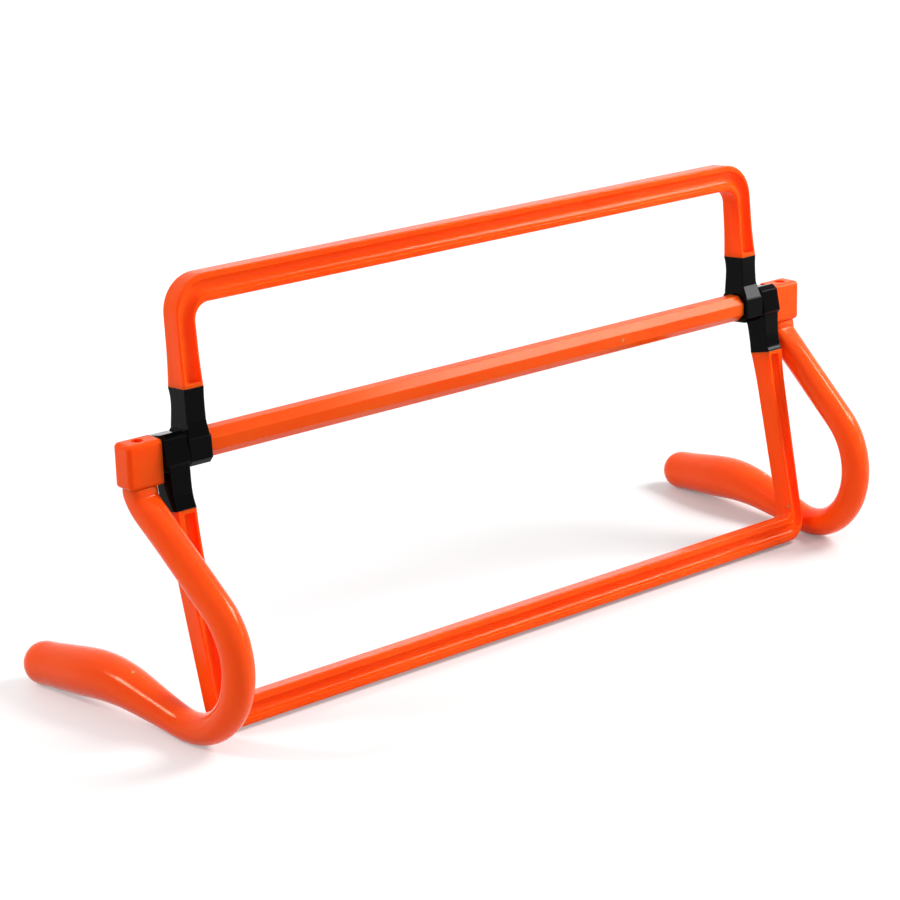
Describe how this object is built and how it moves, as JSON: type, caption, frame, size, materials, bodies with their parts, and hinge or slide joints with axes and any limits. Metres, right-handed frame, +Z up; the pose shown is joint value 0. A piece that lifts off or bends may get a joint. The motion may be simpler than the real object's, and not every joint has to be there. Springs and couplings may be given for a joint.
{
  "type": "speed hurdle",
  "caption": "Low training hurdle: a crossbar on S-shaped legs, with a short and a long U-frame that swing on black end hinges to set the jumping height.",
  "frame": {"origin": "on the floor, at the centre of the bounding box seen from above", "axes": "+X along the crossbar to the right as seen from the front, +Y to the back where the feet point, +Z up"},
  "size_m": [0.5198, 0.183, 0.2362],
  "materials": {
    "orange_plastic": "glossy moulded orange plastic",
    "black_plastic": "glossy moulded black plastic",
    "screw_steel": "zinc-plated steel"
  },
  "bodies": {
    "stand": {"crossbar": "orange_plastic", "end_block_left": "orange_plastic", "end_block_right": "orange_plastic", "leg_left": "orange_plastic", "leg_right": "orange_plastic", "leg_screws": "screw_steel"},
    "short_frame_body": {"short_frame": "orange_plastic", "short_hinge_left": "black_plastic", "short_hinge_right": "black_plastic"},
    "long_frame_body": {"long_frame": "orange_plastic", "long_hinge_left": "black_plastic", "long_hinge_right": "black_plastic"}
  },
  "joints": [
    {"name": "short_frame_hinge", "type": "hinge", "parent": "stand", "child": "short_frame_body", "pos_m": [0, -0.01311, 0.1475], "axis": [1, 0, 0], "continuous": true},
    {"name": "long_frame_hinge", "type": "hinge", "parent": "stand", "child": "long_frame_body", "pos_m": [0, -0.01311, 0.1475], "axis": [-1, 0, 0], "range_deg": [0, 335]}
  ]
}
